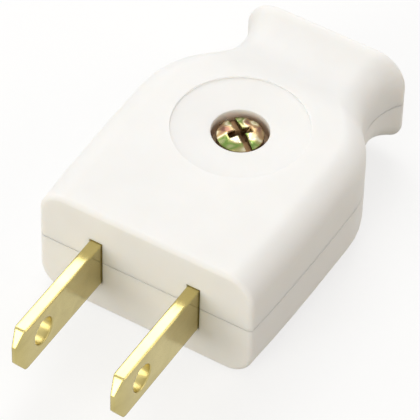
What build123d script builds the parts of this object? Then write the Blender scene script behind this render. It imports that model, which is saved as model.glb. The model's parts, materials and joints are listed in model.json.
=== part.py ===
import os

from build123d import *

# Millimetres. The origin is the middle of the engagement face at blade mid-height.
# X runs across the blades, Y runs back to the cord end and Z is up to the screw.

# Housing outline
BODY_WIDTH = 28.6
SIDE_BULGE = 0.4
WIDEST_AT = 14.0
BODY_LENGTH = 40.3
BODY_HEIGHT = 15.2
SHOULDER_LENGTH = 13.8
FLARE_LENGTH = 5.0
NECK_WIDTH = 18.0
FLARE_WIDTH = 21.0
COVER_NECK_HEIGHT = 5.9
COVER_FLARE_HEIGHT = 6.8
BASE_NECK_HEIGHT = 4.7
BASE_FLARE_HEIGHT = 5.6
BACK_FALL_LENGTH = 8.0
RIM_BAND = 0.6
RIM_BEVEL = 0.25
EDGE_RADIUS = 3.3
COVER_RIM_CORNER = 4.0
BASE_RIM_CORNER = 2.3
FRONT_EDGE_RADIUS = 0.6
FRONT_RUN = 0.8
BULGE_PITCH = 4.4
SHOULDER_PITCH = 1.45
FALL_PITCH = 1.14
FLARE_PITCH = 0.73

# Shell and parting line
WALL = 1.8
FRONT_WALL = 3.0
REAR_WALL = 2.6
PARTING_HEIGHT = 0.3
PARTING_GAP = 0.09
PARTING_DEPTH = 0.4
LIP_HEIGHT = 1.0
LIP_THICKNESS = 0.8
LIP_CLEARANCE = 0.1

# Screw well, dish and bosses
SCREW_AT = 20.3
DISH_RADIUS = 8.0
DISH_STEP = 0.18
DISH_DEPTH = 0.75
WELL_RADIUS = 3.4
BOSS_WALL = 1.3
BOSS_GAP = 0.1
BARRIER_THICKNESS = 1.2
CUT_PAST = 1.0

# Assembly screw and nut
SCREW_THREAD_RADIUS = 1.5
SCREW_HOLE_CLEARANCE = 0.15
SCREW_LENGTH = 12.0
SCREW_POINT = 0.4
SCREW_TURN = -36.5
HEAD_RADIUS = 2.75
HEAD_HEIGHT = 2.0
HEAD_DOME = 0.5
HEAD_DROP = 0.05
SLOT_WIDTH = 0.8
SLOT_DEPTH = 0.9
CROSS_LENGTH = 3.2
CROSS_WIDTH = 0.9
CROSS_DEPTH = 1.5
CROSS_FLOOR = 1.2
THREAD_GAP = 0.03
NUT_FLATS = 5.5
NUT_HEIGHT = 2.4
NUT_RECESS = 0.6
NUT_CLEARANCE = 0.1

# Blades
BLADE_SPACING = 12.7
BLADE_WIDTH = 6.3
BLADE_THICKNESS = 1.5
BLADE_LENGTH = 16.5
BLADE_EDGE = 0.12
BLADE_HOLE_RADIUS = 1.75
BLADE_HOLE_AT = 11.7
TIP_TAPER = 1.27
TIP_WIDTH = 2.4
TIP_THICKNESS = 0.5
TIP_BEVEL = 1.65
TIP_ROUND = 0.4
SLOT_CLEARANCE = 0.12
EAR_HEIGHT = 9.0
EAR_LENGTH = 2.5
EAR_CLEARANCE = 0.05
GUIDE_WALL = 1.2

# Terminals
TAB_TOP = 0.0
BEND_RADIUS = 0.5
BEND_RELIEF = 0.4
LEG_LENGTH = 3.0
TAB_LENGTH = 7.4
TAB_INNER = 4.2
TAB_WALL_GAP = 0.2
TAB_CORNER = 0.8
TERMINAL_THREAD_RADIUS = 1.75
TERMINAL_LENGTH = 6.0
TERMINAL_HEAD_RADIUS = 3.0
TERMINAL_HEAD_HEIGHT = 2.3
WASHER_INSET = 0.35
WASHER_THICKNESS = 0.8
WASHER_LIP_HEIGHT = 0.5
WASHER_LIP_THICKNESS = 0.9
WASHER_CLEARANCE = 0.2
TOWER_INSET = 0.4
TOWER_WELL_CLEARANCE = 0.6

# Cord inlet
CORD_WIDTH = 8.4
CORD_HEIGHT = 6.4
CORD_MOUTH = 0.8
GRIP_GAP = 5.4
GRIP_THICKNESS = 1.2
GRIP_PITCH = 3.0
GRIP_FIRST = 29.0

# Places that follow from the sizes above
NECK_Y = BODY_LENGTH - FLARE_LENGTH
RIM_Y = BODY_LENGTH - RIM_BAND
SHOULDER_Y = NECK_Y - SHOULDER_LENGTH
BACK_FALL_Y = NECK_Y - BACK_FALL_LENGTH
TOP_Z = BODY_HEIGHT / 2
FLOOR_Z = WALL - TOP_Z
DISH_FLOOR_Z = TOP_Z - DISH_DEPTH
SEAT_Z = DISH_FLOOR_Z - HEAD_DROP - HEAD_HEIGHT
SCREW_HOLE_RADIUS = SCREW_THREAD_RADIUS + SCREW_HOLE_CLEARANCE
BOSS_RADIUS = WELL_RADIUS + BOSS_WALL
NUT_BOTTOM_Z = NUT_RECESS - TOP_Z
NUT_TOP_Z = NUT_BOTTOM_Z + NUT_HEIGHT
BLADE_X = BLADE_SPACING / 2
BLADE_FACE_X = BLADE_X + BLADE_THICKNESS / 2
EAR_START = FRONT_WALL + EAR_CLEARANCE
EAR_END = EAR_START + EAR_LENGTH
LEG_END = EAR_END + LEG_LENGTH
TAB_START = LEG_END + BEND_RELIEF
TAB_END = TAB_START + TAB_LENGTH
TAB_UNDER_Z = TAB_TOP - BLADE_THICKNESS
BEND_X = BLADE_FACE_X + BEND_RADIUS
BEND_Z = TAB_UNDER_Z - BEND_RADIUS
TAB_OUTER = BODY_WIDTH / 2 - SIDE_BULGE - WALL - TAB_WALL_GAP
TERMINAL_X = (TAB_INNER + TAB_OUTER) / 2
TERMINAL_Y = (TAB_START + TAB_END) / 2
WASHER_SIDE = TAB_OUTER - TAB_INNER - 2 * WASHER_INSET
WASHER_UNDER_Z = TAB_TOP + WASHER_LIP_HEIGHT
TERMINAL_SEAT_Z = WASHER_UNDER_Z + WASHER_THICKNESS
RIB_YS = [GRIP_FIRST + GRIP_PITCH * step for step in range(3)]


def block(x0, x1, y0, y1, z0, z1):
    """A box between two opposite corners."""
    middle = Pos((x0 + x1) / 2, (y0 + y1) / 2, (z0 + z1) / 2)
    return middle * Box(x1 - x0, y1 - y0, z1 - z0)


def post(radius, x, y, z0, z1):
    """An upright cylinder between two heights."""
    return Pos(x, y, (z0 + z1) / 2) * Cylinder(radius, z1 - z0)


def waist(half, bend_y, neck, flare):
    """The back of a half outline: a double bend into the neck, then the flare."""
    start = Vector(half, bend_y)
    narrow = Vector(neck, NECK_Y)
    middle = (start + narrow) * 0.5
    shoulder = TangentArc(start, middle, tangent=(0, 1))
    hollow = TangentArc(middle, narrow, tangent=shoulder % 1)
    grip = TangentArc(narrow, (flare, RIM_Y), tangent=(0, 1))
    end = Line((flare, RIM_Y), (0, RIM_Y))
    return [shoulder, hollow, grip, end]


def plan_outline():
    """The housing seen from above."""
    half = BODY_WIDTH / 2
    front = Line((0, 0), (half - SIDE_BULGE, 0))
    run = Line(front @ 1, (half - SIDE_BULGE, FRONT_RUN))
    bulge = TangentArc((half, WIDEST_AT), run @ 1, tangent=(0, -1))
    side = Line((half, WIDEST_AT), (half, SHOULDER_Y))
    back = waist(half, SHOULDER_Y, NECK_WIDTH / 2, FLARE_WIDTH / 2)
    right = Curve() + [front, run, bulge, side, *back]
    return make_face(right + mirror(right, Plane.YZ))


def side_outline():
    """The housing seen from the side, drawn with height along minus X."""
    front = Line((0, 0), (TOP_Z, 0))
    level = Line((TOP_Z, 0), (TOP_Z, BACK_FALL_Y))
    under = waist(TOP_Z, BACK_FALL_Y, BASE_NECK_HEIGHT, BASE_FLARE_HEIGHT)
    over = waist(TOP_Z, BACK_FALL_Y, COVER_NECK_HEIGHT, COVER_FLARE_HEIGHT)
    lower = Curve() + [front, level, *under]
    upper = Curve() + [front, level, *over]
    return make_face(lower + mirror(upper, Plane.YZ))


def square_form(inset):
    """The waisted housing with square corners, or the same form drawn in by a wall."""
    plan = plan_outline()
    side = side_outline()
    if inset:
        plan = offset(plan, -inset)
        side = offset(side, -inset)
    across = extrude(plan, BODY_HEIGHT, both=True)
    along = Rot(0, 90, 0) * extrude(side, BODY_WIDTH, both=True)
    return across & along


def section_places():
    """Where the cross-sections are drawn, close together where the outline bends."""
    places = [0, FRONT_RUN]
    bends = [
        (WIDEST_AT, BULGE_PITCH),
        (SHOULDER_Y, BODY_LENGTH),
        (BACK_FALL_Y, SHOULDER_PITCH),
        (NECK_Y, FALL_PITCH),
        (RIM_Y, FLARE_PITCH),
    ]
    for end, pitch in bends:
        start = places[-1]
        count = max(1, round((end - start) / pitch))
        places += [start + (end - start) * step / count for step in range(1, count + 1)]
    return places


def rounded_section(form, y):
    """A cut across the form with its corners rounded, changing out along the flare."""
    cut = section(form, Plane.XZ.offset(-y)).bounding_box()
    share = max(0, y - NECK_Y) / (RIM_Y - NECK_Y)
    upper = EDGE_RADIUS + (COVER_RIM_CORNER - EDGE_RADIUS) * share
    lower = EDGE_RADIUS + (BASE_RIM_CORNER - EDGE_RADIUS) * share
    outline = Rectangle(cut.size.X, cut.size.Z)
    outline = fillet(outline.vertices().group_by(Axis.Y)[0], lower)
    outline = fillet(outline.vertices().group_by(Axis.Y)[-1], upper)
    upright = Plane(cut.center(), x_dir=(1, 0, 0), z_dir=(0, -1, 0))
    return upright * outline


def outer_form():
    """The outside of the housing, lofted through its cross-sections to a flat rim."""
    square = square_form(0)
    cuts = [rounded_section(square, y) for y in section_places()]
    form = loft(cuts, ruled=True)
    form = fillet(form.faces().sort_by(Axis.Y)[0].edges(), FRONT_EDGE_RADIUS)
    form += extrude(cuts[-1], RIM_BAND, dir=(0, 1, 0))
    return chamfer(form.faces().sort_by(Axis.Y)[-1].edges(), RIM_BEVEL)


def hollow_plan(grow):
    """The hollow's outline at the parting line, grown into the walls or drawn in."""
    inner = offset(plan_outline(), grow - WALL)
    start = FRONT_WALL - grow
    end = BODY_LENGTH - REAR_WALL + grow
    return inner & Pos(0, (start + end) / 2) * Rectangle(2 * BODY_WIDTH, end - start)


def mirrored(shape):
    """A shape and its twin on the other side of the plug."""
    return shape + mirror(shape, Plane.YZ)


def screw_well():
    """The dish in the cover and the stepped hole for the assembly screw."""
    above = TOP_Z + CUT_PAST
    points = [
        (0, above),
        (DISH_RADIUS, above),
        (DISH_RADIUS, TOP_Z - DISH_STEP),
        (WELL_RADIUS, DISH_FLOOR_Z),
        (WELL_RADIUS, SEAT_Z),
        (SCREW_HOLE_RADIUS, SEAT_Z),
        (SCREW_HOLE_RADIUS, -above),
        (0, -above),
    ]
    profile = make_face(Plane.XZ * Polyline(*points, close=True))
    return Pos(0, SCREW_AT, 0) * revolve(profile, Axis.Z)


def blade_room():
    """The space one blade takes up in the front wall and between the guides."""
    gap = SLOT_CLEARANCE
    half = BLADE_THICKNESS / 2 + gap
    high = BLADE_WIDTH / 2 + gap
    ear = EAR_HEIGHT / 2 + gap
    slot = block(BLADE_X - half, BLADE_X + half, -CUT_PAST, EAR_END + gap, -high, high)
    pocket = block(BLADE_X - half, BLADE_X + half, FRONT_WALL, LEG_END + gap, -ear, ear)
    return slot + pocket


def cord_oval(y, grow):
    """The cord's outline, upright across the back of the plug."""
    back = Plane((0, y, PARTING_HEIGHT), x_dir=(1, 0, 0), z_dir=(0, -1, 0))
    return back * SlotOverall(CORD_WIDTH + grow, CORD_HEIGHT + grow)


def cord_room():
    """The rounded inlet through the back wall, with a bevelled mouth."""
    hole = extrude(cord_oval(BODY_LENGTH, 0), REAR_WALL + CUT_PAST)
    inner = cord_oval(BODY_LENGTH - CORD_MOUTH, 0)
    outer = cord_oval(BODY_LENGTH, 2 * CORD_MOUTH)
    return hole + loft([inner, outer])


def lip_ring(grow_out, grow_in, height):
    """The rim that lines up the two halves, standing on the parting line."""
    ring = hollow_plan(LIP_THICKNESS + grow_out) - hollow_plan(-grow_in)
    return Pos(0, 0, PARTING_HEIGHT) * extrude(ring, height)


def parting_line():
    """The fine open line round the outside where the halves meet."""
    low = PARTING_HEIGHT - PARTING_GAP
    slab = block(-BODY_WIDTH, BODY_WIDTH, -CUT_PAST, BODY_LENGTH + CUT_PAST, low, PARTING_HEIGHT)
    return slab - extrude(offset(plan_outline(), -PARTING_DEPTH), BODY_HEIGHT, both=True)


def make_halves():
    """The cover and the base."""
    body = outer_form()
    span = block(-BODY_WIDTH, BODY_WIDTH, FRONT_WALL, BODY_LENGTH - REAR_WALL, -TOP_Z, TOP_Z)
    shell = body - (square_form(WALL) & span)
    reach = 2 * BODY_LENGTH
    above = block(-reach, reach, -reach, reach, PARTING_HEIGHT, reach)
    below = block(-reach, reach, -reach, reach, -reach, PARTING_HEIGHT)
    cover = shell & above
    base = shell & below

    # Bosses round the screw and the barrier that keeps the two wires apart
    boss_front = SCREW_AT - BOSS_RADIUS / 2
    half_barrier = BARRIER_THICKNESS / 2
    boss = post(BOSS_RADIUS, 0, SCREW_AT, -TOP_Z, TOP_Z)
    barrier = block(-half_barrier, half_barrier, FRONT_WALL / 2, boss_front, -TOP_Z, TOP_Z)
    core = (boss + barrier) & body
    lifted = block(-reach, reach, -reach, reach, PARTING_HEIGHT + BOSS_GAP, reach)
    cover_inside = core & lifted
    base_inside = core & below

    # Guides that hold the blades behind the front wall
    guide_in = BLADE_X - BLADE_THICKNESS / 2 - GUIDE_WALL
    guide_out = BLADE_FACE_X + GUIDE_WALL
    guide_top = BEND_Z - SLOT_CLEARANCE
    upper_guide = block(guide_in, guide_out, FRONT_WALL / 2, EAR_END, EAR_HEIGHT / 4, TOP_Z)
    lower_guide = block(guide_in, guide_out, FRONT_WALL / 2, LEG_END, -TOP_Z, guide_top)
    cover_inside += mirrored(upper_guide) & body
    base_inside += mirrored(lower_guide) & body

    # Hollow towers under the terminal tabs
    tower = block(
        TAB_INNER + TOWER_INSET,
        TAB_OUTER - TOWER_INSET,
        TAB_START + TOWER_INSET,
        TAB_END - TOWER_INSET,
        -TOP_Z,
        TAB_UNDER_Z,
    )
    well_radius = TERMINAL_THREAD_RADIUS + TOWER_WELL_CLEARANCE
    tower -= post(well_radius, TERMINAL_X, TERMINAL_Y, FLOOR_Z, TOP_Z)
    base_inside += mirrored(tower) & body

    # Cross ribs that grip the cord, set half a pitch apart in the two halves
    grip_low = PARTING_HEIGHT - GRIP_GAP / 2
    grip_high = PARTING_HEIGHT + GRIP_GAP / 2
    for y in RIB_YS:
        low = block(-BODY_WIDTH, BODY_WIDTH, y, y + GRIP_THICKNESS, -TOP_Z, grip_low)
        base_inside += low & body
    for y in RIB_YS[:-1]:
        start = y + GRIP_PITCH / 2
        high = block(-BODY_WIDTH, BODY_WIDTH, start, start + GRIP_THICKNESS, grip_high, TOP_Z)
        cover_inside += high & body

    # Openings for the screw, the nut, the blades and the cord
    blades = mirrored(blade_room())
    cord = cord_room()
    groove_room = lip_ring(LIP_CLEARANCE, LIP_CLEARANCE, LIP_HEIGHT + LIP_CLEARANCE)
    cover = cover + cover_inside - screw_well() - blades - cord - groove_room
    nut_outline = RegularPolygon(NUT_FLATS / 2 + NUT_CLEARANCE, 6, major_radius=False)
    nut_room = Pos(0, SCREW_AT, NUT_TOP_Z - TOP_Z) * extrude(nut_outline, TOP_Z)
    screw_room = post(SCREW_HOLE_RADIUS, 0, SCREW_AT, -TOP_Z - CUT_PAST, TOP_Z)
    lip = lip_ring(0, 0, LIP_HEIGHT)
    base = base + base_inside + lip - nut_room - screw_room - blades - cord - parting_line()
    return cover, base


def make_blade():
    """The right blade: prong, ears behind the wall, and a bent terminal tab."""
    half = BLADE_WIDTH / 2
    ear = EAR_HEIGHT / 2
    tip = -BLADE_LENGTH
    flank = [
        (tip + TIP_TAPER, half),
        (EAR_START, half),
        (EAR_START, ear),
        (EAR_END, ear),
        (EAR_END, BEND_Z),
        (LEG_END, BEND_Z),
        (LEG_END, -ear),
        (EAR_START, -ear),
        (EAR_START, -half),
        (tip + TIP_TAPER, -half),
        (tip, -TIP_WIDTH / 2),
        (tip, TIP_WIDTH / 2),
    ]
    flank_face = make_face(Plane.YZ * Polyline(*flank, close=True))
    flank_face = fillet([v for v in flank_face.vertices() if v.Y < 0], TIP_ROUND)
    thick = BLADE_THICKNESS / 2
    thin = TIP_THICKNESS / 2
    strip = extrude(flank_face, thick, both=True)
    side_edges = strip.edges().group_by(Axis.X)
    outer_edges = [e for e in side_edges[0] + side_edges[-1] if e.center().Y < 0]
    strip = chamfer(outer_edges, BLADE_EDGE)
    edge = [
        (thick, LEG_END + CUT_PAST),
        (thick, tip + TIP_BEVEL),
        (thin, tip),
        (-thin, tip),
        (-thick, tip + TIP_BEVEL),
        (-thick, LEG_END + CUT_PAST),
    ]
    strip = strip & extrude(make_face(Polyline(*edge, close=True)), EAR_HEIGHT, both=True)
    strip -= Pos(0, -BLADE_HOLE_AT, 0) * Rot(0, 90, 0) * Cylinder(BLADE_HOLE_RADIUS, BLADE_WIDTH)
    strip = Pos(BLADE_X, 0, 0) * strip

    # The bend at the top of the leg
    bend_start = EAR_END + BEND_RELIEF
    bend_length = LEG_END - bend_start
    axle = Pos(BEND_X, (bend_start + LEG_END) / 2, BEND_Z) * Rot(90, 0, 0)
    outside = Cylinder(BEND_RADIUS + BLADE_THICKNESS, bend_length)
    ring = axle * (outside - Cylinder(BEND_RADIUS, bend_length))
    bend = ring & block(0, BEND_X, 0, TAB_END, BEND_Z, TAB_TOP + CUT_PAST)

    # The flat tab, wider behind the leg than beside it
    neck = block(BEND_X, TAB_OUTER, bend_start, TAB_END, TAB_UNDER_Z, TAB_TOP)
    plate = block(TAB_INNER, TAB_OUTER, TAB_START, TAB_END, TAB_UNDER_Z, TAB_TOP)
    tab = neck + plate
    uprights = tab.edges().filter_by(Axis.Z).group_by(Axis.X)
    tab = fillet(uprights[0] + uprights[-1], TAB_CORNER)
    thread = TERMINAL_THREAD_RADIUS + THREAD_GAP
    tab -= post(thread, TERMINAL_X, TERMINAL_Y, TAB_UNDER_Z - CUT_PAST, TAB_TOP + CUT_PAST)
    return strip + bend + tab


def slotted_screw(head_radius, head_height, thread_radius, length):
    """A slotted screw with a flat head, seated at the origin."""
    head = post(head_radius, 0, 0, 0, head_height)
    shank = post(thread_radius, 0, 0, -length, 0)
    slot = Pos(0, 0, head_height - SLOT_DEPTH / 2) * Box(2 * head_radius, SLOT_WIDTH, SLOT_DEPTH)
    return head + shank - slot


def make_assembly_screw():
    """The domed screw, with a cross recess over its slot."""
    screw = slotted_screw(HEAD_RADIUS, HEAD_HEIGHT, SCREW_THREAD_RADIUS, SCREW_LENGTH)
    dome_radius = (HEAD_RADIUS**2 + HEAD_DOME**2) / (2 * HEAD_DOME)
    dome = Pos(0, 0, HEAD_HEIGHT - dome_radius) * Sphere(dome_radius)
    screw = screw & (dome + post(HEAD_RADIUS, 0, 0, -SCREW_LENGTH, 0))
    point = screw.edges().filter_by(GeomType.CIRCLE).sort_by(Axis.Z)[0]
    screw = chamfer(point, SCREW_POINT)
    floor = HEAD_HEIGHT - CROSS_DEPTH
    wedge = [
        (-CROSS_LENGTH / 2, HEAD_HEIGHT),
        (CROSS_LENGTH / 2, HEAD_HEIGHT),
        (CROSS_FLOOR / 2, floor),
        (-CROSS_FLOOR / 2, floor),
    ]
    wedge_face = make_face(Plane.XZ * Polyline(*wedge, close=True))
    arm = extrude(wedge_face, CROSS_WIDTH / 2, both=True)
    screw = screw - arm - Rot(0, 0, 90) * arm
    return Pos(0, SCREW_AT, SEAT_Z) * Rot(0, 0, SCREW_TURN) * screw


def make_nut():
    """A hexagon nut with its outer corners bevelled."""
    corner = NUT_FLATS / 3**0.5
    reach = corner - NUT_FLATS / 2
    prism = extrude(RegularPolygon(NUT_FLATS / 2, 6, major_radius=False), NUT_HEIGHT)
    turned = post(corner, 0, 0, 0, NUT_HEIGHT)
    lower = turned.edges().filter_by(GeomType.CIRCLE).sort_by(Axis.Z)[0]
    turned = chamfer(lower, reach / 2, reach)
    bore = post(SCREW_THREAD_RADIUS + THREAD_GAP, 0, 0, -CUT_PAST, NUT_HEIGHT + CUT_PAST)
    return Pos(0, SCREW_AT, NUT_BOTTOM_Z) * ((prism & turned) - bore)


def make_washer():
    """A square clamping washer with two sides turned down to keep the wire in."""
    half = WASHER_SIDE / 2
    top = WASHER_LIP_HEIGHT + WASHER_THICKNESS
    plate = block(-half, half, -half, half, WASHER_LIP_HEIGHT, top)
    lip = block(half - WASHER_LIP_THICKNESS, half, -half, half, 0, WASHER_LIP_HEIGHT)
    washer = plate + mirrored(lip)
    washer -= post(TERMINAL_THREAD_RADIUS + WASHER_CLEARANCE, 0, 0, -CUT_PAST, TERMINAL_SEAT_Z + CUT_PAST)
    return Pos(TERMINAL_X, TERMINAL_Y, TAB_TOP) * washer


def make_terminal_screw(x):
    """A terminal screw, seated on its washer."""
    thread = TERMINAL_THREAD_RADIUS
    screw = slotted_screw(TERMINAL_HEAD_RADIUS, TERMINAL_HEAD_HEIGHT, thread, TERMINAL_LENGTH)
    return Pos(x, TERMINAL_Y, TERMINAL_SEAT_Z) * screw


cover, base = make_halves()
right_blade = make_blade()
right_washer = make_washer()

nodes = {
    "cover": cover,
    "base": base,
    "right_blade": right_blade,
    "left_blade": mirror(right_blade, Plane.YZ),
    "right_terminal_washer": right_washer,
    "left_terminal_washer": mirror(right_washer, Plane.YZ),
    "right_terminal_screw": make_terminal_screw(TERMINAL_X),
    "left_terminal_screw": make_terminal_screw(-TERMINAL_X),
    "assembly_screw": make_assembly_screw(),
    "assembly_nut": make_nut(),
}

os.makedirs("parts", exist_ok=True)
for name, shape in nodes.items():
    export_step(shape, f"parts/{name}.step")
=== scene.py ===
import json
import math

import bpy
from mathutils import Matrix, Vector


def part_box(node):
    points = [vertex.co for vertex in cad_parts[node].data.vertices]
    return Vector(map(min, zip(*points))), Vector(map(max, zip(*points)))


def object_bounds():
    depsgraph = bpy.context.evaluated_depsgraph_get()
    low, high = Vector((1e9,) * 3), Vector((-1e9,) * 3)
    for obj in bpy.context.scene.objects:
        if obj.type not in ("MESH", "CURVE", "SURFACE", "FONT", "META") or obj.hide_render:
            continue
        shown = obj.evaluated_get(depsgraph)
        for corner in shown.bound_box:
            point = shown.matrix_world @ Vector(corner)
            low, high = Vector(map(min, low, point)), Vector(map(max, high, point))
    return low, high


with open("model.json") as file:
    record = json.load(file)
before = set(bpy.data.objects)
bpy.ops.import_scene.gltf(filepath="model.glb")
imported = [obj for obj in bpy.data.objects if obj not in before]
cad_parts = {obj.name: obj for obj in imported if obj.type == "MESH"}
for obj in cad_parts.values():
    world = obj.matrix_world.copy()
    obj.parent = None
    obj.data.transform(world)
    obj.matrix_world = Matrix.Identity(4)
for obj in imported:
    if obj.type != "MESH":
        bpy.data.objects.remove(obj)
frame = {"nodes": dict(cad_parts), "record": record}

CAD_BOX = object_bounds()
NODES = frame["nodes"]
MOUNTS = {mount["name"]: mount for mount in frame["record"]["mounts"]}
SCENE = bpy.context.scene
MM = 0.001
WHITE = (1.0, 1.0, 1.0)

# The floor lies just under the plug's flat underside. It is white where it is seen,
# with a trace of the plug's shadow, and it bounces a weaker and warmer light.
FLOOR_DROP = 0.05 * MM
FLOOR_Z = CAD_BOX[0].z - FLOOR_DROP
FLOOR_SIDE = 4.0
FLOOR_SEEN = (0.95, 0.95, 0.94)
FLOOR_BOUNCE = (0.43, 0.39, 0.31)
FLOOR_GLOW = 0.72

# Level light all round, and soft square lamps, each with its place, watts and colour
WORLD_COLOUR = (1.0, 0.99, 0.97)
WORLD_LEVEL = 0.34
LAMP_SIDE = 0.40
LAMP_TARGET = Vector((0.0, 0.014, 0.0))
LAMPS = {
    "key": ((-0.23, 0.40, 0.46), 1.8, WHITE),
    "front_fill": ((-0.14, -0.57, 0.12), 2.16, (1.0, 0.97, 0.90)),
    "right_fill": ((0.48, 0.18, 0.26), 0.97, (1.0, 0.93, 0.86)),
    "left_fill": ((-0.52, 0.10, 0.28), 0.7, WHITE),
    "high_fill": ((0.0, -0.40, 0.50), 0.65, (1.0, 0.98, 0.95)),
}

# The camera that took the photograph, solved from the blades
CAMERA_AZIMUTH = math.radians(30.305)
CAMERA_ELEVATION = math.radians(46.725)
CAMERA_ROLL = math.radians(1.625)
CAMERA_EYE = Vector((139.130, -224.019, 292.298)) * MM
CAMERA_REACH = (0.01, 20.0)
IMAGE_SIDE = 420
FOCAL_PIXELS = 3549.03
SENSOR_WIDTH = 36.0

# The screw's recess gets painted brown shade between two depths under the top of its head,
# and the wall of its well gets painted brown shade and a painted reflection of the screw
# between two depths under the top of the cover
SCREW_LOW, SCREW_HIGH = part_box("assembly_screw")
SCREW_AXIS = (0.0, (SCREW_LOW.y + SCREW_HIGH.y) / 2, 0.0)
ACROSS_SCREW = (1, 1, 0)
RECESS_HEIGHTS = (SCREW_HIGH.z - 0.374 * MM, SCREW_HIGH.z - 0.824 * MM)
RECESS_PAINTED_SHADE = (0.16, 0.095, 0.048)
WELL_RADIUS = 3.4 * MM
WELL_RADII = (WELL_RADIUS + 0.03 * MM, WELL_RADIUS + 0.08 * MM)
WELL_HEIGHTS = (CAD_BOX[1].z - 0.70 * MM, CAD_BOX[1].z - 2.20 * MM)
WELL_PAINTED_SHADE_AND_REFLECTION = (0.78, 0.60, 0.43)

# The punched wall of each blade's hole is duller than the blade
HOLE = MOUNTS["right_blade_hole"]
HOLE_AXIS = (0.0, *HOLE["pos_m"][1:])
ACROSS_HOLE = (0, 1, 1)
HOLE_RADIUS = HOLE["dims"]["r_mm"] * MM
HOLE_RADII = (HOLE_RADIUS + 0.002 * MM, HOLE_RADIUS + 0.02 * MM)

# How softly the edges of each material catch the light
PLASTIC_EDGE = 0.16 * MM
BRASS_EDGE = 0.35 * MM
STEEL_EDGE = 0.35 * MM
EDGE_SAMPLES = 8

# Bends sharper than this stay crisp, and large faces keep their own direction
CREASE_ANGLE = math.radians(32)
WELD_GAP = 0.002 * MM
LARGE_FACE_WEIGHT = 60

# Colours of the materials, each at its level of the noise
PLASTIC_CLOUD = [
    (0.3, (0.850, 0.846, 0.830)),
    (0.7, (0.875, 0.872, 0.860)),
]
BRASS_CLOUD = [
    (0.25, (0.49, 0.41, 0.165)),
    (0.50, (0.54, 0.455, 0.185)),
    (0.75, (0.58, 0.49, 0.21)),
]
YELLOW_FILM = [
    (0.30, (0.20, 0.10, 0.07)),
    (0.40, (0.36, 0.25, 0.12)),
    (0.48, (0.66, 0.60, 0.42)),
    (0.56, (0.34, 0.32, 0.13)),
    (0.64, (0.16, 0.26, 0.06)),
    (0.74, (0.47, 0.45, 0.24)),
]


def smooth(obj):
    """Shades an object smoothly over its gentle bends and keeps its creases."""
    weld = obj.modifiers.new("weld", "WELD")
    weld.merge_threshold = WELD_GAP
    creases = obj.modifiers.new("creases", "EDGE_SPLIT")
    creases.split_angle = CREASE_ANGLE
    normals = obj.modifiers.new("normals", "WEIGHTED_NORMAL")
    normals.weight = LARGE_FACE_WEIGHT


def empty_tree(owner):
    """The node tree of a material or world, cleared for new nodes."""
    owner.use_nodes = True
    owner.node_tree.nodes.clear()
    return owner.node_tree


def combine(tree, operation, first, second):
    """A maths node on one output and another output or a number."""
    node = tree.nodes.new("ShaderNodeMath")
    node.operation = operation
    tree.links.new(first, node.inputs[0])
    if isinstance(second, float):
        node.inputs[1].default_value = second
    else:
        tree.links.new(second, node.inputs[1])
    return node.outputs["Value"]


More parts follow.
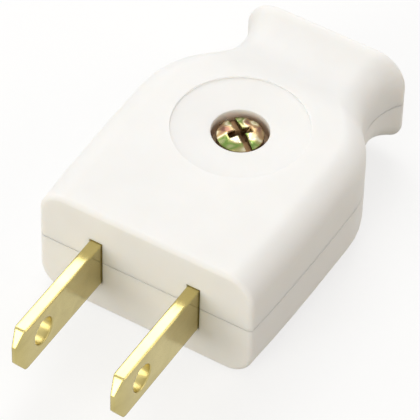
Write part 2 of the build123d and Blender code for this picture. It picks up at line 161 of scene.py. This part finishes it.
class Shader:
    """A node material with one surface shader and helpers for its textures."""

    def __init__(self, name):
        self.material = bpy.data.materials.new(name)
        self.tree = empty_tree(self.material)
        self.nodes = self.tree.nodes
        self.links = self.tree.links
        self.bsdf = self.nodes.new("ShaderNodeBsdfPrincipled")
        output = self.nodes.new("ShaderNodeOutputMaterial")
        self.links.new(self.bsdf.outputs["BSDF"], output.inputs["Surface"])
        self.place = self.nodes.new("ShaderNodeTexCoord").outputs["Object"]

    def set(self, **values):
        """Sets the surface shader's own sockets."""
        for name, value in values.items():
            self.bsdf.inputs[name.replace("_", " ")].default_value = value

    def feed(self, output, socket):
        """Links an output to one of the surface shader's sockets."""
        self.links.new(output, self.bsdf.inputs[socket])

    def stretched(self, x, y, z):
        """The object's own place in metres, stretched along each axis."""
        mapping = self.nodes.new("ShaderNodeMapping")
        mapping.inputs["Scale"].default_value = (x, y, z)
        self.links.new(self.place, mapping.inputs["Vector"])
        return mapping.outputs["Vector"]

    def noise(self, place, scale, detail, warp=0.0):
        """Soft noise, with its scale in waves to the metre."""
        node = self.nodes.new("ShaderNodeTexNoise")
        node.inputs["Scale"].default_value = scale
        node.inputs["Detail"].default_value = detail
        node.inputs["Distortion"].default_value = warp
        self.links.new(place, node.inputs["Vector"])
        return node.outputs["Fac"]

    def ramp(self, value, stops):
        """A colour that runs through stops of position and colour."""
        node = self.nodes.new("ShaderNodeValToRGB")
        ramp = node.color_ramp
        while len(ramp.elements) < len(stops):
            ramp.elements.new(position=0.5)
        for element, (position, colour) in zip(ramp.elements, stops):
            element.position = position
            element.color = (*colour, 1.0)
        self.links.new(value, node.inputs["Fac"])
        return node.outputs["Color"]

    def span(self, value, low, high, from_low=0.3, from_high=0.7):
        """A value moved from one range to another, held at the ends."""
        node = self.nodes.new("ShaderNodeMapRange")
        node.inputs["From Min"].default_value = from_low
        node.inputs["From Max"].default_value = from_high
        node.inputs["To Min"].default_value = low
        node.inputs["To Max"].default_value = high
        self.links.new(value, node.inputs["Value"])
        return node.outputs["Result"]

    def height(self, top, bottom):
        """A share that grows from 0 at one height to 1 at a lower one."""
        split = self.nodes.new("ShaderNodeSeparateXYZ")
        self.links.new(self.place, split.inputs["Vector"])
        return self.span(split.outputs["Z"], low=0.0, high=1.0, from_low=top, from_high=bottom)

    def round_axis(self, across, centre, inner, outer):
        """A share that falls from 1 inside one radius of an axis to 0 outside another."""
        node = self.nodes.new("ShaderNodeVectorMath")
        node.operation = "DISTANCE"
        self.links.new(self.stretched(*across), node.inputs[0])
        node.inputs[1].default_value = centre
        distance = node.outputs["Value"]
        return self.span(distance, low=1.0, high=0.0, from_low=inner, from_high=outer)

    def blend(self, share, colour, other):
        """A colour that gives way to a plain one as a share grows."""
        node = self.nodes.new("ShaderNodeMix")
        node.data_type = "RGBA"
        self.links.new(share, node.inputs["Factor"])
        self.links.new(colour, node.inputs["A"])
        node.inputs["B"].default_value = (*other, 1.0)
        return node.outputs["Result"]

    def soft_edges(self, radius):
        """Normals that round off sharp edges by a small radius."""
        node = self.nodes.new("ShaderNodeBevel")
        node.samples = EDGE_SAMPLES
        node.inputs["Radius"].default_value = radius
        return node.outputs["Normal"]

    def bump(self, value, strength, distance, below):
        """Normals with a relief laid over the normals below it."""
        node = self.nodes.new("ShaderNodeBump")
        node.inputs["Strength"].default_value = strength
        node.inputs["Distance"].default_value = distance
        self.links.new(value, node.inputs["Height"])
        self.links.new(below, node.inputs["Normal"])
        return node.outputs["Normal"]


def white_plastic():
    """Smooth white moulded plastic, a little cloudy, with a fine satin skin."""
    shader = Shader("white_plastic")
    cloud = shader.noise(shader.place, scale=110.0, detail=4.0, warp=0.4)
    colour = shader.ramp(cloud, PLASTIC_CLOUD)
    # Painted shade and a painted reflection of the screw: the well's wall turns brown down
    # towards the screw
    well = shader.round_axis(ACROSS_SCREW, SCREW_AXIS, *WELL_RADII)
    well_shade_and_reflection = combine(shader.tree, "MULTIPLY", well, shader.height(*WELL_HEIGHTS))
    shader.feed(shader.blend(well_shade_and_reflection, colour, WELL_PAINTED_SHADE_AND_REFLECTION), "Base Color")
    patches = shader.noise(shader.place, scale=260.0, detail=5.0)
    shader.feed(shader.span(patches, low=0.44, high=0.54), "Roughness")
    edges = shader.soft_edges(PLASTIC_EDGE)
    flow = shader.noise(shader.stretched(x=1.0, y=0.25, z=1.0), scale=140.0, detail=2.0)
    skin = shader.bump(flow, strength=0.05, distance=0.10 * MM, below=edges)
    grain = shader.noise(shader.place, scale=2600.0, detail=2.0)
    shader.feed(shader.bump(grain, strength=0.06, distance=0.02 * MM, below=skin), "Normal")
    shader.set(IOR=1.5, Specular_IOR_Level=0.35)
    shader.set(Subsurface_Weight=0.7, Subsurface_Scale=1.0 * MM)
    shader.set(Subsurface_Radius=(1.0, 0.9, 0.8))
    return shader.material


def rolled_brass():
    """Bright brass strip, with fine rolling lines along the blade."""
    shader = Shader("rolled_brass")
    cloud = shader.noise(shader.place, scale=320.0, detail=4.0, warp=0.6)
    shader.feed(shader.ramp(cloud, BRASS_CLOUD), "Base Color")
    lines = shader.noise(shader.stretched(x=1.0, y=0.02, z=1.0), scale=4200.0, detail=3.0)
    rolled_rough = shader.span(lines, low=0.14, high=0.24)
    punched = shader.round_axis(ACROSS_HOLE, HOLE_AXIS, *HOLE_RADII)
    punched_rough = shader.span(punched, low=0.0, high=0.36, from_low=0.0, from_high=1.0)
    shader.feed(combine(shader.tree, "MAXIMUM", rolled_rough, punched_rough), "Roughness")
    edges = shader.soft_edges(BRASS_EDGE)
    shader.feed(shader.bump(lines, strength=0.04, distance=0.01 * MM, below=edges), "Normal")
    shader.set(Metallic=1.0)
    return shader.material


def yellow_steel(name, recess=None):
    """Zinc plate under a yellow film that shifts from gold to green and rose.

    The film gets painted shade in a recess, brown between its two heights, and turns dull
    there.
    """
    shader = Shader(name)
    film = shader.noise(shader.place, scale=430.0, detail=1.0, warp=0.5)
    colour = shader.ramp(film, YELLOW_FILM)
    spots = shader.noise(shader.place, scale=1800.0, detail=4.0)
    rough = shader.span(spots, low=0.14, high=0.28)
    if recess:
        # Painted shade: the recess is darkened to brown between its two heights
        depth = shader.height(*recess)
        colour = shader.blend(depth, colour, RECESS_PAINTED_SHADE)
        rough = shader.span(depth, low=0.18, high=0.5, from_low=0.0, from_high=1.0)
    shader.feed(colour, "Base Color")
    shader.feed(rough, "Roughness")
    edges = shader.soft_edges(STEEL_EDGE)
    ripples = shader.noise(shader.place, scale=620.0, detail=1.0)
    waves = shader.bump(ripples, strength=0.7, distance=0.16 * MM, below=edges)
    shader.feed(shader.bump(spots, strength=0.10, distance=0.01 * MM, below=waves), "Normal")
    shader.set(Metallic=1.0)
    return shader.material


def seen_directly(tree):
    """A share of 1 where the backdrop is seen: by the camera, in gloss and through glass."""
    path = tree.nodes.new("ShaderNodeLightPath")
    share = path.outputs["Is Camera Ray"]
    for kind in ("Is Glossy Ray", "Is Transmission Ray"):
        share = combine(tree, "MAXIMUM", share, path.outputs[kind])
    return share


def mixed(tree, share, first, second, output_kind):
    """Sends a mix of two shaders to an output node."""
    mix = tree.nodes.new("ShaderNodeMixShader")
    tree.links.new(share, mix.inputs["Fac"])
    tree.links.new(first, mix.inputs[1])
    tree.links.new(second, mix.inputs[2])
    output = tree.nodes.new(output_kind)
    tree.links.new(mix.outputs["Shader"], output.inputs["Surface"])


def pale_floor():
    """A white floor that keeps a light trace of the plug's shadow."""
    bpy.ops.mesh.primitive_plane_add(size=FLOOR_SIDE, location=(0, 0, FLOOR_Z))
    floor = bpy.context.object
    floor.name = "floor"
    material = bpy.data.materials.new("pale_floor")
    tree = empty_tree(material)
    seen = seen_directly(tree)
    tint = tree.nodes.new("ShaderNodeMix")
    tint.data_type = "RGBA"
    tint.inputs["A"].default_value = (*FLOOR_BOUNCE, 1.0)
    tint.inputs["B"].default_value = (*FLOOR_SEEN, 1.0)
    tree.links.new(seen, tint.inputs["Factor"])
    matt = tree.nodes.new("ShaderNodeBsdfDiffuse")
    tree.links.new(tint.outputs["Result"], matt.inputs["Color"])
    glow = tree.nodes.new("ShaderNodeEmission")
    glow.inputs["Color"].default_value = (*WHITE, 1.0)
    glow.inputs["Strength"].default_value = 1.0
    share = combine(tree, "MULTIPLY", seen, FLOOR_GLOW)
    shaders = (matt.outputs["BSDF"], glow.outputs["Emission"])
    mixed(tree, share, *shaders, "ShaderNodeOutputMaterial")
    floor.data.materials.append(material)


def white_world():
    """White where it is seen, and a plain level of light all round."""
    world = bpy.data.worlds.new("studio")
    SCENE.world = world
    tree = empty_tree(world)
    shaders = []
    for colour, level in ((WORLD_COLOUR, WORLD_LEVEL), (WHITE, 1.0)):
        light = tree.nodes.new("ShaderNodeBackground")
        light.inputs["Color"].default_value = (*colour, 1.0)
        light.inputs["Strength"].default_value = level
        shaders.append(light.outputs["Background"])
    mixed(tree, seen_directly(tree), *shaders, "ShaderNodeOutputWorld")


def softbox(name, place, power, colour):
    """A square area lamp turned to the plug."""
    lamp = bpy.data.lights.new(name, "AREA")
    lamp.shape = "SQUARE"
    lamp.size = LAMP_SIDE
    lamp.energy = power
    lamp.color = colour
    obj = bpy.data.objects.new(name, lamp)
    SCENE.collection.objects.link(obj)
    obj.location = place
    obj.rotation_euler = (LAMP_TARGET - Vector(place)).to_track_quat("-Z", "Y").to_euler()


def photo_camera():
    """The photograph's own camera."""
    sin_az, cos_az = math.sin(CAMERA_AZIMUTH), math.cos(CAMERA_AZIMUTH)
    sin_el, cos_el = math.sin(CAMERA_ELEVATION), math.cos(CAMERA_ELEVATION)
    forward = Vector((-sin_az * cos_el, cos_az * cos_el, -sin_el))
    level = Vector((cos_az, sin_az, 0.0))
    upright = level.cross(forward)
    right = level * math.cos(CAMERA_ROLL) + upright * math.sin(CAMERA_ROLL)
    up = upright * math.cos(CAMERA_ROLL) - level * math.sin(CAMERA_ROLL)
    data = bpy.data.cameras.new("camera")
    data.sensor_fit = "HORIZONTAL"
    data.sensor_width = SENSOR_WIDTH
    data.lens = FOCAL_PIXELS * SENSOR_WIDTH / IMAGE_SIDE
    data.clip_start, data.clip_end = CAMERA_REACH
    camera = bpy.data.objects.new("camera", data)
    SCENE.collection.objects.link(camera)
    turned = Matrix((right, up, -forward)).transposed().to_4x4()
    camera.matrix_world = Matrix.Translation(CAMERA_EYE) @ turned
    SCENE.camera = camera


LOOKS = {
    "cover": white_plastic(),
    "right_blade": rolled_brass(),
    "assembly_screw": yellow_steel("plated_screw", RECESS_HEIGHTS),
    "assembly_nut": yellow_steel("plated_steel"),
}
LOOKS["base"] = LOOKS["cover"]
LOOKS["left_blade"] = LOOKS["right_blade"]
for name in NODES:
    if "terminal" in name:
        LOOKS[name] = LOOKS["assembly_nut"]

for name, node in NODES.items():
    node.data.materials.clear()
    node.data.materials.append(LOOKS[name])
    smooth(node)

pale_floor()
white_world()
for name, (place, power, colour) in LAMPS.items():
    softbox(name, place, power, colour)
photo_camera()

SCENE.view_settings.view_transform = "Standard"
